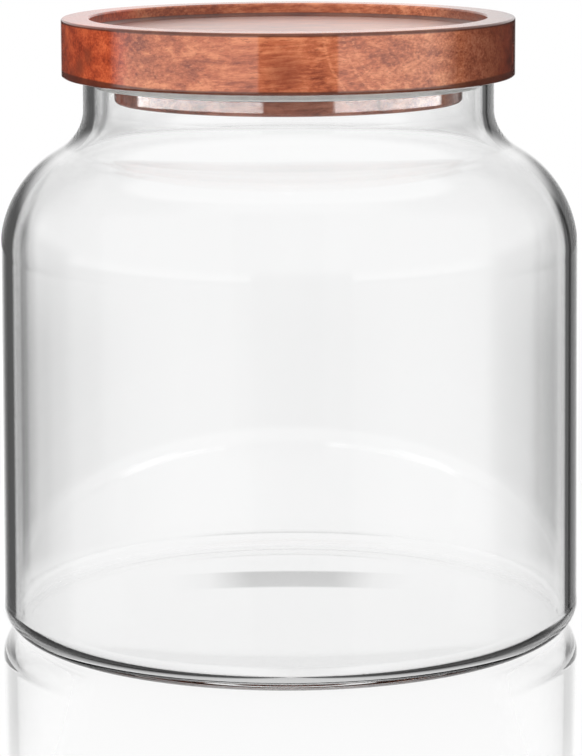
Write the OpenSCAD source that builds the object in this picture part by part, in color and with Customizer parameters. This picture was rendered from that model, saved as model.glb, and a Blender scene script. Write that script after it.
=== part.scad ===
// Glass storage jar with a turned wooden lid. Millimetres, +Z up.
// The origin is the middle of the ring that the jar stands on.
// Every piece is round about +Z, so its module spins one half of its cross-section.

/* [Jar] */
// Widest diameter, just above the heel
body_d = 148.6; // [144:0.2:156]
// How much less the radius is where the shoulder begins
body_draft = 0.6; // [0:0.1:2]
// Height of the glass, from the table to the lip
jar_h = 141.6; // [100:0.2:220]
// Thickness of the wall, the same from the heel to the lip
wall = 3.2; // [2.4:0.1:4]
// Outer radius of the shoulder
shoulder_r = 30.5; // [26:0.5:36]
// Straight slope between the shoulder and the foot of the neck
slope_len = 2.8; // [0.4:0.2:8]
// Outer radius of the hollow curve at the foot of the neck
neck_curve_r = 11; // [8:0.5:16]
// Outer diameter of the neck
neck_d = 104.2; // [98:0.2:110]
// Height of the straight neck, lip included
neck_h = 8.2; // [4:0.2:20]
// Width of the flat land that the lid rests on, between the lip's round edges
lip_land = 0.8; // [0.4:0.1:1.8]

/* [Base of the jar] */
// Outer radius of the heel
heel_r = 7; // [5:0.5:14]
// Width of the flat ring that the jar stands on
foot_w = 3; // [1:0.5:10]
// How far the underside is pushed up in the middle
push_up = 2.2; // [1:0.1:6]
// Thickness of the base in the middle
base_t = 4; // [3.4:0.1:8]

/* [Lid] */
// How far the lid stands out past the neck
lid_overhang = 5.3; // [2:0.1:12]
// Thickness of the lid at its rim
lid_t = 14.8; // [9:0.2:24]
// Width of the raised rim
rim_w = 7.2; // [3:0.2:16]
// Depth of the tray inside the rim
tray_depth = 3.5; // [2:0.1:6]
// Radius of the corner between the tray's wall and its floor
tray_corner_r = 1; // [0.4:0.1:1]
// Radius on the lid's edges
lid_ease = 0.6; // [0.2:0.1:0.9]

/* [Plug] */
// Gap between the plug's side and the inside of the neck
plug_gap = 4.8; // [3:0.1:7]
// Thickness of the plug
plug_t = 6.3; // [5.5:0.1:10]
// Radius on the plug's lower edge
plug_ease = 1; // [0.3:0.1:1.4]
// Wood left between the lid and the groove for the seal
groove_drop = 0.7; // [0.4:0.1:1.1]
// Height of the groove
groove_h = 1.9; // [1.5:0.1:2.4]
// Depth of the groove
groove_depth = 1.8; // [1:0.1:3]

/* [Seal ring] */
// Gap left between the seal and the neck
seal_gap = 0.3; // [0.1:0.1:1]
// Gap above the seal and below it, in the groove
seal_play = 0.05; // [0.05:0.05:0.15]
// Radius of the seal's round tip
seal_tip_r = 0.5; // [0.3:0.05:0.6]

/* [Hidden] */
$fn = 180;
// Steps along each large curve of an outline, and along each small rounded edge
curve_steps = 16;
edge_steps = 6;

body_r = body_d / 2;
neck_r = neck_d / 2;
mouth_r = neck_r - wall;
lip_r = (wall - lip_land) / 2;

// The shoulder turns inward as far as the hollow curve turns back, so this one turn, with
// the slope between them, brings the radius in from the body to the neck
set_in = body_r - body_draft - neck_r;
curve_sum = shoulder_r + neck_curve_r;
turn = acos((curve_sum - set_in) / norm([curve_sum, slope_len])) - atan2(slope_len, curve_sum);

// Centres of the three curves of the wall, from the top down
neck_foot = [neck_r + neck_curve_r, jar_h - neck_h];
shoulder_c = neck_foot - curve_sum * toward(turn) - slope_len * toward(turn + 90);
heel_c = [body_r - heel_r, heel_r];

// The body's side touches both the heel and the shoulder, so it leans in by this angle
side = shoulder_c - heel_c;
lean = atan2(side[1], side[0]) - acos((heel_r - shoulder_r) / norm(side));

// Both domes of the base spring from the inner edge of the foot ring
dome_edge_r = heel_c[0] - foot_w;
floor_rise = push_up + base_t - wall;

lid_r = neck_r + lid_overhang;
tray_r = lid_r - rim_w;
tray_floor = lid_t - tray_depth;

plug_r = mouth_r - plug_gap;
plug_low = jar_h - plug_t;
groove_r = plug_r - groove_depth;
groove_top = jar_h - groove_drop;

seal_r = mouth_r - seal_gap;
seal_top = groove_top - seal_play;
seal_h = groove_h - 2 * seal_play;

// Unit step at an angle
function toward(angle) = [cos(angle), sin(angle)];

// Points along an arc, from one angle to another
function arc(centre, r, from, to, steps = curve_steps) = [
    for (i = [0:steps]) centre + r * toward(from + (to - from) * i / steps)
];

// Rounded corner of an outline, a quarter turn anticlockwise from an angle
function corner(centre, r, from) = arc(centre, r, from, from + 90, edge_steps);

function reversed(points) = [for (i = [len(points) - 1:-1:0]) points[i]];

// Face of the jar's wall from heel to neck, set in from the outer face by a depth
function wall_face(depth) = concat(
    arc(heel_c, heel_r - depth, -90, lean),
    arc(shoulder_c, shoulder_r - depth, lean, turn),
    arc(neck_foot, neck_curve_r + depth, 180 + turn, 180)
);

// Shallow dome from the jar's axis out to the foot ring, which it meets at a height
function dome_face(rise, height) =
    let (r = (dome_edge_r ^ 2 + rise ^ 2) / (2 * rise))
    arc([0, height + rise - r], r, 90, 90 - asin(dome_edge_r / r));

// Lip with both edges rounded about a flat land
function lip_face() = concat(
    corner([neck_r - lip_r, jar_h - lip_r], lip_r, 0),
    corner([mouth_r + lip_r, jar_h - lip_r], lip_r, 90)
);

module jar() {
    color([0.86, 0.93, 0.92, 0.4])
    rotate_extrude() polygon(concat(
        dome_face(push_up, 0),
        wall_face(0),
        lip_face(),
        reversed(wall_face(wall)),
        reversed(dome_face(floor_rise, wall))
    ));
}

module lid() {
    color([0.66, 0.36, 0.22])
    translate([0, 0, jar_h])
    rotate_extrude() polygon(concat(
        [[0, 0]],
        corner([lid_r - lid_ease, lid_ease], lid_ease, -90),
        corner([lid_r - lid_ease, lid_t - lid_ease], lid_ease, 0),
        corner([tray_r + lid_ease, lid_t - lid_ease], lid_ease, 90),
        reversed(corner([tray_r - tray_corner_r, tray_floor + tray_corner_r], tray_corner_r, -90)),
        [[0, tray_floor]]
    ));
}

module plug() {
    color([0.5, 0.26, 0.18])
    rotate_extrude() polygon(concat(
        [[0, plug_low]],
        corner([plug_r - plug_ease, plug_low + plug_ease], plug_ease, -90),
        [[plug_r, groove_top - groove_h], [groove_r, groove_top - groove_h]],
        [[groove_r, groove_top], [plug_r, groove_top]],
        [[plug_r, jar_h], [0, jar_h]]
    ));
}

// The ring fills the groove, and outside it thins to one round-tipped lip
module seal_ring() {
    tip = [seal_r - seal_tip_r, seal_top - seal_h / 2];
    color([0.88, 0.88, 0.86, 0.8])
    rotate_extrude() polygon(concat(
        [[groove_r, seal_top], [groove_r, seal_top - seal_h], [plug_r, seal_top - seal_h]],
        arc(tip, seal_tip_r, -90, 90, 2 * edge_steps),
        [[plug_r, seal_top]]
    ));
}

jar();
lid();
plug();
seal_ring();
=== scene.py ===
"""Looks of a round glass storage jar with a turned wooden lid, its plug and its seal."""

import math

import bpy
from mathutils import Matrix, Vector

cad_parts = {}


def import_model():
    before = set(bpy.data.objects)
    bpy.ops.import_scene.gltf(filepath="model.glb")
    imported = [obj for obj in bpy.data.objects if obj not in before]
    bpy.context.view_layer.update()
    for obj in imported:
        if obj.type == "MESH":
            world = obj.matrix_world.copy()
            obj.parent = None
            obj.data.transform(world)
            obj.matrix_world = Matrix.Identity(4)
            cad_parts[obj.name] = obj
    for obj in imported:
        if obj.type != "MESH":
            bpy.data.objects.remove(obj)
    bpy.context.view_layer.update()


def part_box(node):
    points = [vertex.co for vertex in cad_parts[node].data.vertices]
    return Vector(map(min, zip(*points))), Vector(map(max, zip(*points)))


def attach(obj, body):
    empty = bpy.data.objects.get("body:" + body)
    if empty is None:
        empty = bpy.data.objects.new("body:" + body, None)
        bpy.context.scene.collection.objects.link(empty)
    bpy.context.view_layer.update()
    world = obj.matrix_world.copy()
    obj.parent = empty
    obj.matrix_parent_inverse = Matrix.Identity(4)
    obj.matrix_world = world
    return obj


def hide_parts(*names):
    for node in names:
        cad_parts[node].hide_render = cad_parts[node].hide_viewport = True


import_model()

MM = 0.001


# Sizes of the pieces

jar_box, lid_box, plug_box, seal_box = (
    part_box(node) for node in ("jar", "lid", "plug", "seal_ring")
)
BODY_R = jar_box[1].x
JAR_H = jar_box[1].z
BODY_DRAFT = 0.6 * MM
WALL = 3.2 * MM
SHOULDER_R = 30.5 * MM
SLOPE = 2.8 * MM
NECK_CURVE_R = 11 * MM
NECK_R = 52.1 * MM
NECK_H = 8.2 * MM
LIP_LAND = 0.8 * MM
HEEL_R = 7 * MM
FOOT_W = 3 * MM
PUSH_UP = 2.2 * MM
BASE_T = 4 * MM
# Hair gap that keeps the lip from sharing a plane with the lid
LIP_GAP = 0.04 * MM

LID_R = lid_box[1].x
RIM_W = 7.2 * MM
TRAY_R = LID_R - RIM_W
TRAY_DEPTH = 3.5 * MM
TRAY_CORNER_R = 1 * MM
LID_EASE = 0.6 * MM

PLUG_R = plug_box[1].x
PLUG_EASE = 1 * MM
GROOVE_R = PLUG_R - 1.8 * MM
SEAL_PLAY = 0.05 * MM
SEAL_TIP_R = 0.5 * MM

# Steps along a curve, along the shoulder, along a rounded corner, and round the axis
CURVE_STEPS = 24
SHOULDER_STEPS = 32
CORNER_STEPS = 6
TURNS = 288
# Faces that meet at less than this angle look like one smooth face
CREASE = math.radians(40)
# A point nearer to the axis than this is on it
ON_AXIS = 1e-7


# Outlines, each a list of (radius, height) points

def arc(centre, r, start, end, steps=CURVE_STEPS):
    """Points along an arc, from one angle to another, in degrees."""
    angles = [math.radians(start + (end - start) * i / steps) for i in range(steps + 1)]
    return [(centre[0] + r * math.cos(a), centre[1] + r * math.sin(a)) for a in angles]


def corner(centre, r, start):
    """A rounded corner, a quarter turn anticlockwise."""
    return arc(centre, r, start, start + 90, CORNER_STEPS)


def wall_curves():
    """Centres of the heel, the shoulder and the neck's foot, and the angles where they meet."""
    curve_sum = SHOULDER_R + NECK_CURVE_R
    set_in = BODY_R - BODY_DRAFT - NECK_R
    slope_angle = math.atan2(SLOPE, curve_sum)
    turn = math.acos((curve_sum - set_in) / math.hypot(curve_sum, SLOPE)) - slope_angle
    foot = Vector((NECK_R + NECK_CURVE_R, JAR_H - NECK_H))
    along = Vector((math.cos(turn), math.sin(turn)))
    across = Vector((-along.y, along.x))
    shoulder = foot - curve_sum * along - SLOPE * across
    heel = Vector((BODY_R - HEEL_R, HEEL_R))
    side = shoulder - heel
    lean = math.atan2(side.y, side.x) - math.acos((HEEL_R - SHOULDER_R) / side.length)
    return heel, shoulder, foot, math.degrees(lean), math.degrees(turn)


def wall_face(depth):
    """The wall's face from heel to neck, set in from the outer face by a depth."""
    heel, shoulder, foot, lean, turn = wall_curves()
    return (
        arc(heel, HEEL_R - depth, -90, lean)
        + arc(shoulder, SHOULDER_R - depth, lean, turn, SHOULDER_STEPS)
        + arc(foot, NECK_CURVE_R + depth, 180 + turn, 180)
    )


def dome_face(rise, height):
    """A shallow dome from the axis to the foot ring."""
    edge_r = BODY_R - HEEL_R - FOOT_W
    r = (edge_r**2 + rise**2) / (2 * rise)
    return arc((0, height + rise - r), r, 90, 90 - math.degrees(math.asin(edge_r / r)))


def jar_outline():
    lip_z = JAR_H - LIP_GAP
    lip_r = (WALL - LIP_LAND) / 2
    mouth_r = NECK_R - WALL
    return (
        dome_face(PUSH_UP, 0)
        + wall_face(0)
        + corner((NECK_R - lip_r, lip_z - lip_r), lip_r, 0)
        + corner((mouth_r + lip_r, lip_z - lip_r), lip_r, 90)
        + wall_face(WALL)[::-1]
        + dome_face(PUSH_UP + BASE_T - WALL, WALL)[::-1]
    )


def lid_outline():
    low, high = lid_box[0].z, lid_box[1].z
    floor_z = high - TRAY_DEPTH
    tray_corner = (TRAY_R - TRAY_CORNER_R, floor_z + TRAY_CORNER_R)
    return (
        [(0, low)]
        + corner((LID_R - LID_EASE, low + LID_EASE), LID_EASE, -90)
        + corner((LID_R - LID_EASE, high - LID_EASE), LID_EASE, 0)
        + corner((TRAY_R + LID_EASE, high - LID_EASE), LID_EASE, 90)
        + corner(tray_corner, TRAY_CORNER_R, -90)[::-1]
        + [(0, floor_z)]
    )


def plug_outline():
    low, high = plug_box[0].z, plug_box[1].z
    groove_low, groove_high = seal_box[0].z - SEAL_PLAY, seal_box[1].z + SEAL_PLAY
    return (
        [(0, low)]
        + corner((PLUG_R - PLUG_EASE, low + PLUG_EASE), PLUG_EASE, -90)
        + [(PLUG_R, groove_low), (GROOVE_R, groove_low)]
        + [(GROOVE_R, groove_high), (PLUG_R, groove_high)]
        + [(PLUG_R, high), (0, high)]
    )


def seal_outline():
    low, high = seal_box[0].z, seal_box[1].z
    tip = (seal_box[1].x - SEAL_TIP_R, (low + high) / 2)
    return (
        [(GROOVE_R, low), (PLUG_R, low)]
        + arc(tip, SEAL_TIP_R, -90, 90, 2 * CORNER_STEPS)
        + [(PLUG_R, high), (GROOVE_R, high)]
    )


# Meshes

def add_object(name, data):
    item = bpy.data.objects.new(name, data)
    bpy.context.scene.collection.objects.link(item)
    return item


def edge_normals(outline, closed):
    """Normals at the start and the end of every segment of an outline.

    Two segments that meet at less than the crease share one normal there. The longer one decides
    it, so a straight face next to a small round edge stays flat in the light.
    """
    ends = outline[1:] + outline[:1] if closed else outline[1:]
    steps = [Vector(b) - Vector(a) for a, b in zip(outline, ends)]
    flats = [Vector((step.y, -step.x)) * step.length for step in steps]
    pairs = []
    for i, flat in enumerate(flats):
        around = (flats[i - 1], flats[(i + 1) % len(flats)])
        shared = [flat + near if flat.angle(near) < CREASE else flat for near in around]
        pairs.append([normal.normalized() for normal in shared])
    return pairs


def lathe(name, outline):
    """Spins an outline about Z into a closed mesh.

    A point on the axis becomes one vertex. An outline that starts on the axis also ends there, and
    any other outline closes on itself.
    """
    angles = [2 * math.pi * i / TURNS for i in range(TURNS)]
    spins = [(math.cos(a), math.sin(a)) for a in angles]
    verts, rings = [], []
    for r, z in outline:
        if r < ON_AXIS:
            rings.append([len(verts)] * TURNS)
            verts.append((0, 0, z))
            continue
        rings.append(list(range(len(verts), len(verts) + TURNS)))
        verts += [(r * c, r * s, z) for c, s in spins]
    closed = outline[0][0] > ON_AXIS
    ends = rings[1:] + rings[:1] if closed else rings[1:]
    faces, normals = [], []
    for low, high, (first, last) in zip(rings, ends, edge_normals(outline, closed)):
        for i in range(TURNS):
            j = (i + 1) % TURNS
            corners = [(low[i], i, first), (low[j], j, first), (high[j], j, last), (high[i], i, last)]
            corners = [item for k, item in enumerate(corners) if item[0] != corners[k - 1][0]]
            if len(corners) > 2:
                faces.append([item[0] for item in corners])
                normals += [(n.x * spins[k][0], n.x * spins[k][1], n.y) for _, k, n in corners]
    mesh = bpy.data.meshes.new(name)
    mesh.from_pydata(verts, [], faces)
    mesh.shade_smooth()
    mesh.normals_split_custom_set(normals)
    return add_object(name, mesh)


def add_piece(name, outline, node, body, material):
    """A lathe-turned piece that stands for a CAD node."""
    piece = lathe(name, outline)
    piece.data.materials.append(material)
    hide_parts(node)
    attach(piece, body)
    return piece


# Shader nodes

def new_material(name):
    """An empty material and its node tree."""
    material = bpy.data.materials.new(name)
    material.use_nodes = True
    material.node_tree.nodes.clear()
    return material, material.node_tree


def add(tree, kind, values=None, **settings):
    """Adds a shader node. A value that is a socket is linked, and any other is set."""
    node = tree.nodes.new(kind)
    for key, value in settings.items():
        setattr(node, key, value)
    for key, value in (values or {}).items():
        if isinstance(value, bpy.types.NodeSocket):
            tree.links.new(value, node.inputs[key])
        else:
            node.inputs[key].default_value = value
    return node


def output(tree, surface, kind="ShaderNodeOutputMaterial"):
    add(tree, kind, {"Surface": surface})


def maths(tree, operation, *values):
    return add(tree, "ShaderNodeMath", dict(enumerate(values)), operation=operation).outputs[0]


def product(tree, first, *others):
    for other in others:
        first = maths(tree, "MULTIPLY", first, other)
    return first


def inverse(tree, share):
    return maths(tree, "SUBTRACT", 1, share)


def mix(tree, factor, a, b):
    """a where the factor is 0 and b where it is 1."""
    return add(tree, "ShaderNodeMix", {"Factor": factor, 2: a, 3: b}).outputs[0]


def smooth(tree, value, low, high):
    """0 at low, 1 at high and a smooth change between, whichever of the two is the greater."""
    return add(
        tree,
        "ShaderNodeMapRange",
        {"Value": value, "From Min": low, "From Max": high},
        interpolation_type="SMOOTHSTEP",
    ).outputs["Result"]


def parts(tree, vector):
    """The vector's X, Y and Z."""
    return add(tree, "ShaderNodeSeparateXYZ", {"Vector": vector}).outputs


def length(tree, vector):
    return add(tree, "ShaderNodeVectorMath", {0: vector}, operation="LENGTH").outputs["Value"]


def distance(tree, a, b):
    return add(tree, "ShaderNodeVectorMath", {0: a, 1: b}, operation="DISTANCE").outputs["Value"]


def stretched(tree, point, scale, turn=(0, 0, 0)):
    """A point scaled on each axis, then turned about the origin."""
    return add(
        tree, "ShaderNodeMapping", {"Vector": point, "Scale": scale, "Rotation": turn}
    ).outputs["Vector"]


def noise(tree, point, scale, detail, roughness=0.5, distortion=0.0):
    """A noise about 0.5, with its own scale on each axis."""
    return add(
        tree,
        "ShaderNodeTexNoise",
        {
            "Vector": stretched(tree, point, scale),
            "Scale": 1.0,
            "Detail": detail,
            "Roughness": roughness,
            "Distortion": distortion,
        },
    ).outputs["Fac"]


def ramp(tree, factor, stops):
    """A colour ramp. Each stop is (position, colour)."""
    node = add(tree, "ShaderNodeValToRGB", {"Fac": factor})
    elements = node.color_ramp.elements
    while len(elements) < len(stops):
        elements.new(0.5)
    for element, (position, colour) in zip(elements, stops):
        element.position = position
        element.color = (*colour, 1)
    return node.outputs["Color"]


def mix_colour(tree, factor, a, b, blend="MIX"):
    node = add(tree, "ShaderNodeMix", {"Factor": factor}, data_type="RGBA", blend_type=blend)
    for socket, value in ((node.inputs[6], a), (node.inputs[7], b)):
        if isinstance(value, bpy.types.NodeSocket):
            tree.links.new(value, socket)
        else:
            socket.default_value = (*value, 1)
    return node.outputs[2]


# Wood. The board's length, and its fibres, run along X. Places and sizes here are in mm.

# Half the span over which the board's colour drifts
BOARD = 60
# How the board's colour drifts from left to right: place and tint. It is partly the wood's own
# drift and end grain, and partly painted light: the pale, bluish tints right of the middle are a
# painted reflection of the right softbox, and the dark right end is partly painted shade.
BOARD_TINTS_AND_PAINTED_LIGHT = [
    (-57, (0.7, 0.4, 0.3)), (-54, (0.95, 0.55, 0.38)), (-42, (1.0, 0.6, 0.45)), (-36, (1, 1.1, 1.1)),
    (0, (1, 1, 1)), (20, (1.25, 1.45, 1.55)), (36, (1.35, 1.75, 1.95)), (44, (0.65, 0.75, 0.9)),
    (50, (0.42, 0.4, 0.42)), (54, (0.34, 0.22, 0.2)), (57, (0.15, 0.09, 0.08)),
]
# How far the blotches shift that drift to either side
TINT_WAVER = 14
# How strong the dark blotches are from left to right
BLOTCH_SHARES = [
    (-56, 0.6), (-42, 0.7), (-36, 0.8), (6, 0.9), (14, 0.3), (40, 0.3), (50, 0.2), (57, 0.2),
]
# How far the fibres are turned off the axes, in radians
FIBRE_TURN = (0.03, 0.05, 0.06)
# Noises of the wood: scale on each axis, detail, roughness and distortion
FIGURE = (0.04, 0.08, 0.1), 3, 0.6, 1.2
BANDS = (0.02, 0.22, 0.3), 4, 0.65, 0.8
BLOTCHES = (0.16, 0.22, 0.22), 5, 0.7, 0.4
FIBRES = (0.12, 1.6, 1.6), 3, 0.6
DASHES = (0.35, 2.2, 2.2), 2
# How much of each noise goes into the tone, and the tone of a board that has none
FIGURE_SHARE, BAND_SHARE, BLOTCH_SHARE, FIBRE_SHARE = 0.25, 0.35, 0.45, 0.3
PLAIN_TONE = 0.2
# Tones at which the wood is dark, middling and light
TONES = (0.39, 0.5, 0.61)
# The dashes' values at which short dark and light marks begin and are full, and their strength
DARK_DASHES = 0.6, 0.7, 0.5
LIGHT_DASHES = 0.4, 0.32, 0.35
# Soft dark knots in the front of the lid: place, radius and strength
KNOTS = [
    ((-1, -57, 147), 7, 0.55), ((-53, -22, 143), 4.5, 0.8), ((-51, -26, 146), 4, 0.8),
    ((-49, -30, 149), 3.5, 0.7),
]
# The middle of a knot is even over this share of its radius
KNOT_HEART = 1 / 7
# Pale growth rings that curve across the front of the lid: their axis in X and Z, and their radii
RINGS_AT = (33, 158)
RING_RADII = (18, 20.2, 24.8)
RING_STRENGTH = 0.6
# Half the width of a ring where it fades out and where it is full
RING_WIDTHS = (0.5, 0.15)
# The rings begin at one depth in Y, are full at the other, and break where the dashes are high
RING_DEPTHS = (-35, -50)
RING_BREAKS = (0.62, 0.4)
# Painted shade on the tray's floor towards its wall: a narrow dark line in the corner and a broad
# darkening across the floor. How far from its wall each begins and is full, and its strength
CORNER_SHADES = [(2.2, 0.3, 0.8), (20, 2, 0.5)]
CORNER_SHADE_COLOUR = (0.07, 0.014, 0.007)
# Painted shade along the lid's outer edges: how far from the lid's underside, top and side it
# begins and is full. The line at the underside widens from the middle of the front to its ends.
UNDERSIDE_LINE = 1.2, 0.7
TOP_LINE = 1.1, 0.7
SIDE_DEPTH = 0.5, 0.2
LINE_WIDENS = 30, 57
LINE_EXTRA = 1.1
LINE_STRENGTH = 0.85
EDGE_SHADE_COLOUR = (0.05, 0.012, 0.007)
# Dark, middling and light colours of each part
LID_COLOURS = (0.2, 0.035, 0.014), (0.46, 0.11, 0.045), (0.7, 0.23, 0.105)
TRAY_COLOURS = (0.16, 0.035, 0.016), (0.4, 0.11, 0.05), (0.56, 0.2, 0.1)
PLUG_COLOURS = (0.13, 0.035, 0.018), (0.3, 0.085, 0.045), (0.44, 0.15, 0.085)


def by_place(tree, share, stops):
    """Colour by place across the board, from a list of (place, colour)."""
    return ramp(tree, share, [(x / (2 * BOARD) + 0.5, colour) for x, colour in stops])


def about_zero(tree, value):
    """A noise moved from about 0.5 to about 0."""
    return maths(tree, "SUBTRACT", value, 0.5)


def wood_tone(tree, board_x, along, blotches, fibres):
    """How light the wood is, before the drift of its colour."""
    tone = maths(tree, "MULTIPLY", noise(tree, along, *FIGURE), FIGURE_SHARE)
    tone = maths(tree, "MULTIPLY_ADD", noise(tree, along, *BANDS), BAND_SHARE, tone)
    strength = by_place(tree, board_x, [(x, (share,) * 3) for x, share in BLOTCH_SHARES])
    blotch = maths(tree, "MULTIPLY", about_zero(tree, blotches), strength)
    tone = maths(tree, "ADD", maths(tree, "MULTIPLY_ADD", blotch, BLOTCH_SHARE, PLAIN_TONE), tone)
    return maths(tree, "MULTIPLY_ADD", about_zero(tree, fibres), FIBRE_SHARE, tone)


def growth_rings(tree, place, breaks):
    """Strength of the thin pale arcs on the front of the board, broken up by a noise."""
    part = parts(tree, place)
    flat = add(tree, "ShaderNodeCombineXYZ", {"X": part["X"], "Y": part["Z"]}).outputs[0]
    away = distance(tree, flat, (*RINGS_AT, 0))
    arcs = 0.0
    for radius in RING_RADII:
        off = maths(tree, "ABSOLUTE", maths(tree, "SUBTRACT", away, radius))
        arcs = maths(tree, "MAXIMUM", smooth(tree, off, *RING_WIDTHS), arcs)
    front = smooth(tree, part["Y"], *RING_DEPTHS)
    return product(tree, arcs, front, smooth(tree, breaks, *RING_BREAKS), RING_STRENGTH)


def grain_and_painted_light(tree, place, dark, middle, light):
    """Colour of the bare wood with painted light and shade across the board, and the height of its
    fibres.
    """
    along = stretched(tree, place, (1, 1, 1), FIBRE_TURN)
    board_x = maths(tree, "MULTIPLY_ADD", parts(tree, place)["X"], 0.5 / BOARD, 0.5)
    blotches, fibres, dashes = (noise(tree, along, *kind) for kind in (BLOTCHES, FIBRES, DASHES))
    tone = wood_tone(tree, board_x, along, blotches, fibres)
    colour = ramp(tree, tone, list(zip(TONES, (dark, middle, light))))
    for (begin, full, strength), shade in ((DARK_DASHES, dark), (LIGHT_DASHES, light)):
        marks = product(tree, smooth(tree, dashes, begin, full), strength)
        colour = mix_colour(tree, marks, colour, shade)
    colour = mix_colour(tree, growth_rings(tree, place, dashes), colour, light)
    # The board's drift in colour also holds a painted reflection right of the middle and painted
    # shade at the right end
    waver = maths(tree, "MULTIPLY", about_zero(tree, blotches), TINT_WAVER / (2 * BOARD))
    tint = by_place(tree, maths(tree, "ADD", board_x, waver), BOARD_TINTS_AND_PAINTED_LIGHT)
    colour = mix_colour(tree, 1.0, colour, tint, "MULTIPLY")
    for centre, radius, strength in KNOTS:
        away = distance(tree, place, centre)
        shade = product(tree, smooth(tree, away, radius, radius * KNOT_HEART), strength)
        colour = mix_colour(tree, shade, colour, dark)
    return colour, fibres


def painted_corner_shade(tree, out):
    """Strength of the painted shade on the tray's floor, by distance from the axis."""
    near, wide = (
        product(tree, smooth(tree, out, TRAY_R - begin * MM, TRAY_R - full * MM), strength)
        for begin, full, strength in CORNER_SHADES
    )
    return maths(tree, "MAXIMUM", near, wide)


def painted_edge_shade(tree, point, out):
    """Strength of the painted shade along the two outer edges of the lid."""
    part = parts(tree, point)
    underside, top, side = (
        [edge * MM for edge in edges] for edges in (UNDERSIDE_LINE, TOP_LINE, SIDE_DEPTH)
    )
    low, high = lid_box[0].z, lid_box[1].z
    to_ends = smooth(tree, maths(tree, "ABSOLUTE", part["X"]), *(x * MM for x in LINE_WIDENS))
    wider = maths(tree, "MULTIPLY", to_ends, LINE_EXTRA * MM)
    up = maths(tree, "SUBTRACT", part["Z"], wider)
    near_low = smooth(tree, up, low + underside[0], low + underside[1])
    near_high = smooth(tree, part["Z"], high - top[0], high - top[1])
    outside = smooth(tree, out, LID_R - side[0], LID_R - side[1])
    return product(tree, maths(tree, "MAXIMUM", near_low, near_high), outside, LINE_STRENGTH)


def wood(name, colours, gloss, haze=0.04, sheen=0.0, corner_shade=False):
    """Varnished red-brown hardwood, solid through the piece, with painted shade along the lid's outer
    edges and, for the tray, painted shade towards its wall.
    """
    material, tree = new_material(name)
    point = add(tree, "ShaderNodeTexCoord").outputs["Object"]
    out = length(tree, stretched(tree, point, (1, 1, 0)))
    colour, fibres = grain_and_painted_light(tree, stretched(tree, point, (1 / MM,) * 3), *colours)
    # Painted shade in the tray's corner and across its floor towards the wall
    if corner_shade:
        colour = mix_colour(tree, painted_corner_shade(tree, out), colour, CORNER_SHADE_COLOUR)
    # Painted shade along the lid's outer edges
    colour = mix_colour(tree, painted_edge_shade(tree, point, out), colour, EDGE_SHADE_COLOUR)
    bump = add(tree, "ShaderNodeBump", {"Height": fibres, "Strength": 0.2, "Distance": 0.05 * MM})
    shader = add(
        tree,
        "ShaderNodeBsdfPrincipled",
        {
            "Base Color": colour,
            "Roughness": 0.45,
            "Specular IOR Level": 0.2,
            "Specular Tint": (1.0, 0.6, 0.4, 1),
            "Normal": bump.outputs["Normal"],
            "Coat Weight": gloss,
            "Coat Roughness": haze,
            "Coat IOR": 1.6,
            "Sheen Weight": sheen,
            "Sheen Roughness": 0.3,
        },
    )
    output(tree, shader.outputs["BSDF"])
    return material


# Glass and silicone

def glass():
    material, tree = new_material("clear_glass")
    shader = add(
        tree,
        "ShaderNodeBsdfPrincipled",
        {
            "Base Color": (0.999, 1.0, 1.0, 1),
            "Roughness": 0.0,
            "IOR": 1.5,
            "Transmission Weight": 1.0,
        },
    )
    output(tree, shader.outputs["BSDF"])
    return material


def silicone():
    """Whitish silicone with a faint cloudiness."""
    material, tree = new_material("clear_silicone")
    point = add(tree, "ShaderNodeTexCoord").outputs["Object"]
    haze = noise(tree, stretched(tree, point, (1 / MM,) * 3), (0.4, 0.4, 0.4), 3)
    shader = add(
        tree,
        "ShaderNodeBsdfPrincipled",
        {
            "Base Color": ramp(tree, haze, [(0.3, (0.82, 0.82, 0.8)), (0.7, (0.92, 0.92, 0.9))]),
            "Roughness": 0.15,
            "IOR": 1.41,
            "Transmission Weight": 0.15,
            "Subsurface Weight": 0.5,
            "Subsurface Radius": (3 * MM, 3 * MM, 3 * MM),
        },
    )
    output(tree, shader.outputs["BSDF"])
    return material


# Pieces

def varnish_tray(lid, material):
    """Gives a second material to the tray's floor and the rounded corner round it."""
    lid.data.materials.append(material)
    corner_top = lid_box[1].z - TRAY_DEPTH + TRAY_CORNER_R
    for face in lid.data.polygons:
        centre = face.center
        inside = math.hypot(centre.x, centre.y) < TRAY_R
        if face.normal.z > 0.0 and centre.z < corner_top and inside:
            face.material_index = 1


jar = add_piece("glass_jar", jar_outline(), "jar", "jar", glass())
# Lamps shine through clear glass, so the plug and the seal behind it are lit
jar.visible_shadow = False
lid_wood = wood("lid_wood", LID_COLOURS, 0.8)
# The tray's material also gets painted shade towards its wall
tray_wood = wood("tray_wood", TRAY_COLOURS, 1.0, 0.28, 0.4, corner_shade=True)
plug_wood = wood("plug_wood", PLUG_COLOURS, 1.0)
wooden_lid = add_piece("wooden_lid", lid_outline(), "lid", "lid", lid_wood)
varnish_tray(wooden_lid, tray_wood)
add_piece("wooden_plug", plug_outline(), "plug", "lid", plug_wood)
add_piece("silicone_ring", seal_outline(), "seal_ring", "lid", silicone())


# Studio. A ray that only passes through glass sees the white table and backdrop. One that has been
# mirrored sees a dark room with glows round it, whatever its height, because the table lets it by.
# Directions are in degrees from straight behind the jar, positive to the right, and heights are
# sines of the angle above level.

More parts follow.
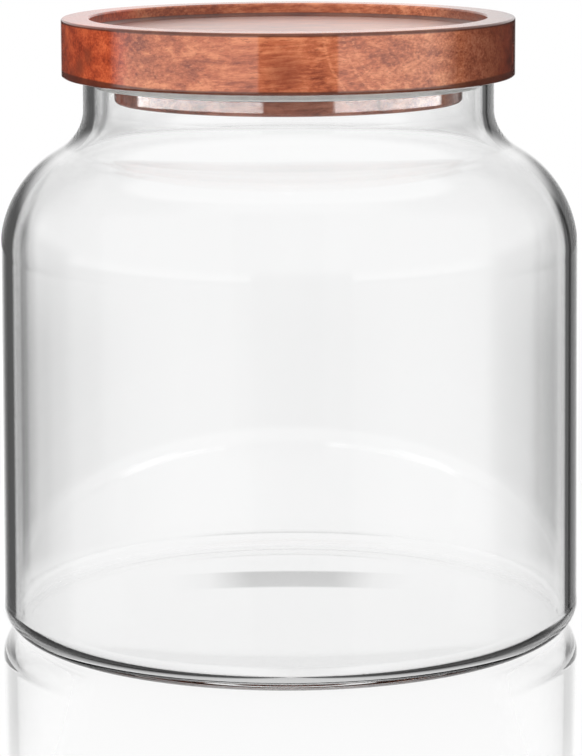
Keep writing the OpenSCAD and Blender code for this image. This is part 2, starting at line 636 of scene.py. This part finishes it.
# Brightness of the room by direction. The glass has a stripe or two more in its edges than a plain
# gloss shows.
ROOM_GLOWS = [
    (-180, 0.3), (-166, 0.3), (-165, 0.42), (-88, 0.42), (-79, 0.03), (-14, 0.03), (-9, 1.0),
    (9, 1.0), (14, 0.02), (86, 0.02), (104, 0.42), (155, 0.42), (156, 0.3),
]
GLASS_GLOWS = [
    (-166, 0.3), (-165, 0.42), (-84, 0.42), (-80, 0.13), (-60, 0.2), (-50, 0.4), (-47, 0.35),
    (-45, 0.0), (-40, 0.0), (-38.5, 0.4), (-37, 0.4), (-36, 0.15), (-33, 0.11), (-14, 0.11),
    (-9, 1.0), (9, 1.0), (14, 0.18), (26, 0.2), (27, 0.0), (29.5, 0.0), (30.5, 0.14), (35, 0.2),
    (37, 0.7), (46, 0.7), (48, 0.4), (56, 0.35), (60, 0.2), (88, 0.13), (92, 0.42), (155, 0.42),
    (156, 0.3),
]
# Two long softboxes in front of the jar, as the plug shows them through the neck and as the rest
# of the jar does. Each is a bright strip under a dimmer sheet: heights of the strip and its soft
# edge, and heights between which the sheet comes in.
SOFTBOXES_IN_PLUG = [
    (-164, 0), (-163, 1), (-68, 1), (-66, 0), (64, 0), (66, 1), (150, 1), (151, 0),
]
SOFTBOXES = [(-166, 0), (-165, 1), (-88, 1), (-79, 0), (86, 0), (104, 1), (155, 1), (156, 0)]
STRIP_LOW, STRIP_HIGH, STRIP_EDGE = -0.108, -0.073, 0.002
SHEET_FADE = (0.0, 0.05)
SHEET_GLOW = 0.5
# Glow of the strip in varnish, in bare glass, and in the plug through the neck
STRIP_GLOW = 1.5
STRIP_GLOW_IN_GLASS = 0.1
STRIP_GLOW_IN_PLUG = 10.0
# How wide the white behind the jar looks to a ray that comes down steeply, past the lid
BEHIND_GLOWS = [
    (-32, 0.0), (-28, 0.12), (-25, 0.3), (-21.5, 0.9), (-17, 1.5), (-9, 1.5),
    (9, 1.2), (15, 1.0), (20, 0.3), (24, 0.2), (28, 0.1), (32, 0.0),
]
BEHIND_FADE = (-0.108, -0.12)
# The table in reflections: white in front and behind, dark at the sides, up to these heights
TABLE_GLOWS = [
    (-150, 0.6), (-115, 0.04), (-30, 0.04), (-12, 0.6),
    (12, 0.6), (30, 0.04), (115, 0.04), (150, 0.6),
]
TABLE_FADE = (-0.45, -0.2)
# The room above the table's level, white behind the jar and grey elsewhere
CEILING_GLOWS = [(-25, 0.65), (-14, 1.0), (14, 1.0), (25, 0.65)]
CEILING_FADE = (0.06, 0.22)
# Where it begins for a ray that is blurred and not in glass, which sees it white all round
OPEN_CEILING_FADE = (0.02, 0.06)
# A dark slot in the middle of that white, which only the front of the jar's base mirrors
SLOT_GLOWS = [(-1.3, 1.0), (-1.0, 0.1), (2.1, 0.1), (2.4, 1.0)]
# A low dark gap with grey ends behind the jar, which the far side of the base mirrors, and its
# lower and upper heights and soft edge
GAP_GLOWS = [
    (-3.2, 1), (-2.6, 0.75), (-1.65, 0.6), (-1.5, 0), (1.6, 0), (1.75, 0.5), (2.8, 0.8), (3.4, 1),
]
GAP_LOW, GAP_HIGH, GAP_EDGE = 0.16, 0.21, 0.01
# The white backdrop seen straight through the jar, with the line that its left edge bends in
BACKDROP_GLOWS = [(-18, 1.0), (-16, 0.5), (-14, 0.5), (-12.5, 1.0)]
# How much of the white table behind the jar shows through the glass, which shades it at its sides
BESIDE_GLOWS = [
    (-30, 1.0), (-18, 0.8), (-12, 0.76), (-10, 0.76), (-9, 0.86), (-7.5, 0.9), (-5.6, 0.93),
    (-3.5, 1.0), (-1.3, 1.0), (-1.1, 0.975), (1.5, 0.975), (1.7, 1.0),
    (5.5, 1.0), (7, 0.93), (9, 0.88), (10.5, 0.74), (14, 0.7), (18, 0.8), (30, 1.0),
]
BESIDE_FADE = (-0.135, -0.175)
# A mirrored ray that also went right through the jar sees the white backdrop, unless it heads
# below level, further to the front than this in Y, or higher than this
FRONTWARD, OVERHEAD = -0.2, 0.3
# Brightness of the world to a diffuse ray
AMBIENT = 0.36

# A ray went right through the jar when it passed more faces of glass than the first number, and
# through its base as well when it passed more than the second
NEAR_FACES, WALL_FACES = 3.5, 5.5


def path_shares(tree):
    """Whether the ray is diffuse, has been mirrored, and stopped short of right through the jar."""
    path = add(tree, "ShaderNodeLightPath").outputs
    diffuse = maths(tree, "GREATER_THAN", path["Diffuse Depth"], 0.5)
    mirrored = maths(tree, "GREATER_THAN", path["Glossy Depth"], 0.5)
    short = maths(tree, "LESS_THAN", path["Transmission Depth"], NEAR_FACES)
    return diffuse, mirrored, short


class Ray:
    """Where a ray that reaches the world goes, and what it met on its way, as sockets."""

    def __init__(self, tree):
        part = parts(tree, add(tree, "ShaderNodeTexCoord").outputs["Generated"])
        angle = maths(tree, "ARCTAN2", part["X"], part["Y"])
        self.turn = maths(tree, "MULTIPLY_ADD", angle, 0.5 / math.pi, 0.5)
        self.back, self.up = part["Y"], part["Z"]
        self.diffuse, self.mirrored, self.short = path_shares(tree)
        path = add(tree, "ShaderNodeLightPath").outputs
        self.singular = path["Is Singular Ray"]
        self.in_glass = maths(tree, "GREATER_THAN", path["Transmission Depth"], 0.5)
        self.in_base = maths(tree, "GREATER_THAN", path["Transmission Depth"], WALL_FACES)
        self.once = maths(tree, "LESS_THAN", path["Glossy Depth"], 1.5)


def by_direction(tree, ray, stops):
    """Brightness by direction, from a list of (degrees, brightness)."""
    return ramp(tree, ray.turn, [((angle + 180) / 360, (glow,) * 3) for angle, glow in stops])


def between(tree, ray, low, high, edge):
    """1 between two heights, and 0 beyond them by the width of a soft edge."""
    above = smooth(tree, ray.up, low - edge, low)
    return product(tree, above, smooth(tree, ray.up, high + edge, high))


def softboxes(tree, ray):
    """Glow of the softboxes in front of the jar."""
    glow = mix(tree, ray.singular, STRIP_GLOW, STRIP_GLOW_IN_GLASS)
    glow = mix(tree, ray.short, STRIP_GLOW_IN_PLUG, glow)
    strip = product(tree, between(tree, ray, STRIP_LOW, STRIP_HIGH, STRIP_EDGE), glow)
    sheet = smooth(tree, ray.up, *SHEET_FADE)
    glow = maths(tree, "MULTIPLY_ADD", sheet, SHEET_GLOW, strip)
    in_plug, elsewhere = (by_direction(tree, ray, stops) for stops in (SOFTBOXES_IN_PLUG, SOFTBOXES))
    return product(tree, mix(tree, ray.short, in_plug, elsewhere), glow)


def room_level(tree, ray):
    """Brightness of the room up to the table's level, as a mirrored ray sees it."""
    plain, striped = (by_direction(tree, ray, stops) for stops in (ROOM_GLOWS, GLASS_GLOWS))
    level = mix(tree, ray.in_glass, plain, striped)
    level = maths(tree, "ADD", level, softboxes(tree, ray))
    behind = by_direction(tree, ray, BEHIND_GLOWS)
    steep = product(tree, smooth(tree, ray.up, *BEHIND_FADE), inverse(tree, ray.in_glass))
    level = maths(tree, "MAXIMUM", level, product(tree, behind, steep))
    table = by_direction(tree, ray, TABLE_GLOWS)
    return mix(tree, smooth(tree, ray.up, *TABLE_FADE), table, level)


def room(tree, ray):
    """Brightness of the whole room, as a mirrored ray sees it."""
    base_once = product(tree, ray.in_base, ray.once)
    slot = mix(tree, base_once, 1.0, by_direction(tree, ray, SLOT_GLOWS))
    ceiling = product(tree, by_direction(tree, ray, CEILING_GLOWS), slot)
    open_air = product(tree, inverse(tree, ray.singular), inverse(tree, ray.in_glass))
    rises = (smooth(tree, ray.up, *fade) for fade in (CEILING_FADE, OPEN_CEILING_FADE))
    rise = mix(tree, open_air, *rises)
    return mix(tree, rise, room_level(tree, ray), mix(tree, open_air, ceiling, 1.0))


def backdrop(tree, ray):
    """Brightness of the white backdrop and table, past the jar or right through it."""
    beside = smooth(tree, ray.up, *BESIDE_FADE)
    beside = mix(tree, beside, 1.0, by_direction(tree, ray, BESIDE_GLOWS))
    shaded = product(tree, beside, by_direction(tree, ray, BACKDROP_GLOWS))
    through = product(tree, inverse(tree, ray.mirrored), inverse(tree, ray.short))
    return mix(tree, through, 1.0, shaded)


def gap(tree, ray):
    """Brightness left by the low dark gap behind the jar."""
    at_gap = between(tree, ray, GAP_LOW, GAP_HIGH, GAP_EDGE)
    in_jar = product(tree, ray.mirrored, ray.once, inverse(tree, ray.short))
    return mix(tree, product(tree, at_gap, in_jar), 1.0, by_direction(tree, ray, GAP_GLOWS))


def world():
    studio = bpy.data.worlds.new("studio")
    bpy.context.scene.world = studio
    studio.use_nodes = True
    tree = studio.node_tree
    tree.nodes.clear()
    ray = Ray(tree)
    downward = maths(tree, "LESS_THAN", ray.up, 0)
    in_front = maths(tree, "MAXIMUM", downward, maths(tree, "LESS_THAN", ray.back, FRONTWARD))
    in_front = maths(tree, "MAXIMUM", in_front, maths(tree, "GREATER_THAN", ray.up, OVERHEAD))
    in_room = product(tree, ray.mirrored, maths(tree, "MAXIMUM", ray.short, in_front))
    seen = mix(tree, in_room, backdrop(tree, ray), room(tree, ray))
    seen = product(tree, seen, gap(tree, ray))
    strength = mix(tree, ray.diffuse, seen, AMBIENT)
    background = add(tree, "ShaderNodeBackground", {"Color": (1, 1, 1, 1), "Strength": strength})
    output(tree, background.outputs[0], "ShaderNodeOutputWorld")


# Table, in metres. It reaches this far from the axis on each side.
TABLE_REACH = 8.0
# It lies this far under the jar, so that the two share no plane
TABLE_DROP = 0.1 * MM
# Share of its own white light, which grows to the whole between two distances from the axis
WHITE_SHARE = 0.85
WHITE_FADE = (0.22, 0.7)
# Distances from the axis between which its faint mirror comes in, and between which it fades out
MIRROR_START = (0.068, 0.078)
MIRROR_END = (0.24, 0.1)
# The mirror leaves out the middle of the front: it comes in this far to each side, or back in Y
MIRROR_SIDE = (0.045, 0.065)
MIRROR_BACK = (-0.05, -0.03)
# It shows only at a grazing angle
MIRROR_GRAZING = (0.45, 0.7)
MIRROR_STRENGTH = 0.9
MIRROR_BLUR = 0.03
# Distances from the axis between which it stops showing through the jar and lets such rays by
TABLE_GONE = (0.085, 0.11)


def table_mirror(tree, point, reach, mirrored):
    """Share of the faint mirror in the table."""
    part = parts(tree, point)
    beside = smooth(tree, maths(tree, "ABSOLUTE", part["X"]), *MIRROR_SIDE)
    beside = maths(tree, "MAXIMUM", beside, smooth(tree, part["Y"], *MIRROR_BACK))
    near = product(tree, smooth(tree, reach, *MIRROR_START), smooth(tree, reach, *MIRROR_END))
    facing = add(tree, "ShaderNodeLayerWeight", {"Blend": 0.5}).outputs["Facing"]
    grazing = smooth(tree, facing, *MIRROR_GRAZING)
    return product(tree, near, beside, grazing, MIRROR_STRENGTH, inverse(tree, mirrored))


def table_gone(tree, reach, mirrored, short):
    """Whether the table lets a ray by, so that it sees the world instead."""
    through = product(tree, inverse(tree, short), smooth(tree, reach, *TABLE_GONE))
    return maths(tree, "MAXIMUM", product(tree, mirrored, short), through)


def floor():
    """The white table, with a faint mirror round the jar."""
    mesh = bpy.data.meshes.new("floor")
    corners = [(-1, -1), (1, -1), (1, 1), (-1, 1)]
    mesh.from_pydata([(x * TABLE_REACH, y * TABLE_REACH, 0) for x, y in corners], [], [(0, 1, 2, 3)])
    piece = add_object("floor", mesh)
    piece.location.z = -TABLE_DROP
    material, tree = new_material("white_table")
    mesh.materials.append(material)
    point = add(tree, "ShaderNodeNewGeometry").outputs["Position"]
    reach = length(tree, point)
    diffuse, mirrored, short = path_shares(tree)
    direct = inverse(tree, diffuse)
    lit = add(tree, "ShaderNodeBsdfDiffuse", {"Color": (0.86, 0.86, 0.86, 1)}).outputs[0]
    white = add(tree, "ShaderNodeEmission", {"Color": (1, 1, 1, 1), "Strength": 1.0}).outputs[0]
    far = smooth(tree, reach, *WHITE_FADE)
    share = product(tree, maths(tree, "MULTIPLY_ADD", far, 1 - WHITE_SHARE, WHITE_SHARE), direct)
    table = add(tree, "ShaderNodeMixShader", {0: share, 1: lit, 2: white}).outputs[0]
    gloss = {"Color": (1, 1, 1, 1), "Roughness": MIRROR_BLUR}
    mirror = add(tree, "ShaderNodeBsdfGlossy", gloss).outputs[0]
    polish = table_mirror(tree, point, reach, mirrored)
    table = add(tree, "ShaderNodeMixShader", {0: polish, 1: table, 2: mirror}).outputs[0]
    gone = product(tree, table_gone(tree, reach, mirrored, short), direct)
    clear = add(tree, "ShaderNodeBsdfTransparent").outputs[0]
    output(tree, add(tree, "ShaderNodeMixShader", {0: gone, 1: table, 2: clear}).outputs[0])


def key(name, place, size, glow):
    """A large soft lamp that gives the even light and leaves no mark in the gloss."""
    light = bpy.data.lights.new(name, "AREA")
    light.shape = "SQUARE"
    light.size = size
    light.energy = glow * math.pi * size**2
    lamp = add_object(name, light)
    lamp.location = place
    aim = Vector((0, 0, JAR_H)) - lamp.location
    lamp.rotation_mode = "QUATERNION"
    lamp.rotation_quaternion = aim.to_track_quat("-Z", "Y")
    lamp.visible_camera = lamp.visible_glossy = lamp.visible_transmission = False


world()
floor()
key("key_left", (-0.95, -0.6, 0.55), 0.6, 4.4)
key("key_right", (0.2, -1.1, 0.24), 0.5, 4.4)
key("key_top", (0, 0.1, 1.3), 1.0, 2.2)


# Camera, fitted to the outline of the jar in the photo. Angles are in degrees.

CAMERA_AT = (0.49 * MM, -819.8 * MM, 214.2 * MM)
PITCH = 8.65
ROLL = 0.219
# Focal length, how far the picture is raised, and its height, in the photo's pixels
FOCAL_PX = 3241
RAISED_PX = 100
PHOTO_H = 756
SENSOR = 36.0
FAR_CLIP = 50


def camera():
    data = bpy.data.cameras.new("camera")
    data.sensor_width = SENSOR
    data.lens = FOCAL_PX * SENSOR / PHOTO_H
    data.shift_y = -RAISED_PX / PHOTO_H
    data.clip_end = FAR_CLIP
    item = add_object("camera", data)
    pitch = Matrix.Rotation(math.radians(90 - PITCH), 4, "X")
    roll = Matrix.Rotation(math.radians(-ROLL), 4, "Z")
    item.matrix_world = Matrix.Translation(CAMERA_AT) @ pitch @ roll
    bpy.context.scene.camera = item


camera()
bpy.context.scene.view_settings.view_transform = "Standard"
# Light is trapped in the glass of the heel for many bounces before it comes out
cycles = bpy.context.scene.cycles
cycles.max_bounces = 32
cycles.glossy_bounces = cycles.transmission_bounces = 24
